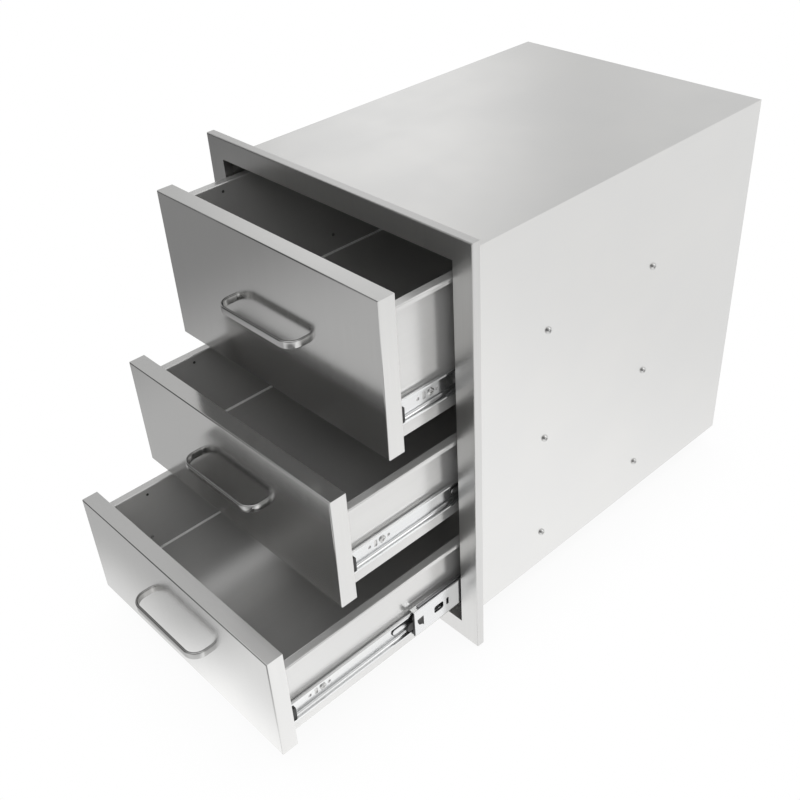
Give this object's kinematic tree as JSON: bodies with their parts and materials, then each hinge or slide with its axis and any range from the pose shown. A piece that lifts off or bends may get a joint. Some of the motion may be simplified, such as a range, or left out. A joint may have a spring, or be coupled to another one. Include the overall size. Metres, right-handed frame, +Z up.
{
  "type": "outdoor kitchen drawer unit",
  "caption": "Built-in sheet-steel drawer unit: a box behind a flanged face frame, with stacked drawers on ball-bearing slides, folded fronts and flat strap handles.",
  "frame": {"origin": "on the rear face of the face frame, in the middle of its bottom edge, where the frame rests against the front of the island", "axes": "+X to the right as seen from the front, +Y to the back into the island, +Z up; the drawers open toward -Y"},
  "size_m": [0.402, 0.792, 0.52],
  "materials": {
    "fronts": "long straight brushed grain, stainless",
    "box": "smooth satin mill finish, stainless",
    "trays": "smooth bright mill finish, stainless",
    "handles": "fine brushed grain, stainless",
    "slides": "bright zinc plate",
    "fasteners": "bright stainless",
    "ball_cages": "greased plated strip with steel balls",
    "black_plastic": "fine moulded grain"
  },
  "bodies": {
    "cabinet": {"face_frame": "fronts", "top_panel": "box", "bottom_panel": "box", "left_panel": "box", "right_panel": "box", "back_panel": "box", "top_left_rail": "slides", "top_right_rail": "slides", "middle_left_rail": "slides", "middle_right_rail": "slides", "bottom_left_rail": "slides", "bottom_right_rail": "slides", "box_screws": "fasteners"},
    "top_runners": {"top_left_runner": "slides", "top_right_runner": "slides", "top_ball_cages": "ball_cages", "top_end_buffers": "black_plastic"},
    "top_drawer": {"top_front_shell": "fronts", "top_front_liner": "trays", "top_left_side": "trays", "top_right_side": "trays", "top_tray_floor": "trays", "top_tray_back": "trays", "top_handle": "handles", "top_handle_nuts": "fasteners", "top_tray_rails": "slides", "top_rail_screws": "fasteners", "top_release_levers": "black_plastic"},
    "middle_runners": {"middle_left_runner": "slides", "middle_right_runner": "slides", "middle_ball_cages": "ball_cages", "middle_end_buffers": "black_plastic"},
    "middle_drawer": {"middle_front_shell": "fronts", "middle_front_liner": "trays", "middle_left_side": "trays", "middle_right_side": "trays", "middle_tray_floor": "trays", "middle_tray_back": "trays", "middle_handle": "handles", "middle_handle_nuts": "fasteners", "middle_tray_rails": "slides", "middle_rail_screws": "fasteners", "middle_release_levers": "black_plastic"},
    "bottom_runners": {"bottom_left_runner": "slides", "bottom_right_runner": "slides", "bottom_ball_cages": "ball_cages", "bottom_end_buffers": "black_plastic"},
    "bottom_drawer": {"bottom_front_shell": "fronts", "bottom_front_liner": "trays", "bottom_left_side": "trays", "bottom_right_side": "trays", "bottom_tray_floor": "trays", "bottom_tray_back": "trays", "bottom_handle": "handles", "bottom_handle_nuts": "fasteners", "bottom_tray_rails": "slides", "bottom_rail_screws": "fasteners", "bottom_release_levers": "black_plastic"}
  },
  "joints": [
    {"name": "top_runners_slide", "type": "slide", "parent": "cabinet", "child": "top_runners", "axis": [0, -1, 0], "range_m": [0, 0.191]},
    {"name": "top_drawer_slide", "type": "slide", "parent": "top_runners", "child": "top_drawer", "axis": [0, -1, 0], "range_m": [-0.089, 0.07]},
    {"name": "middle_runners_slide", "type": "slide", "parent": "cabinet", "child": "middle_runners", "axis": [0, -1, 0], "range_m": [-0.006, 0.185]},
    {"name": "middle_drawer_slide", "type": "slide", "parent": "middle_runners", "child": "middle_drawer", "axis": [0, -1, 0], "range_m": [-0.159, 0]},
    {"name": "bottom_runners_slide", "type": "slide", "parent": "cabinet", "child": "bottom_runners", "axis": [0, -1, 0], "range_m": [-0.102, 0.089]},
    {"name": "bottom_drawer_slide", "type": "slide", "parent": "bottom_runners", "child": "bottom_drawer", "axis": [0, -1, 0], "range_m": [-0.159, 0]}
  ]
}
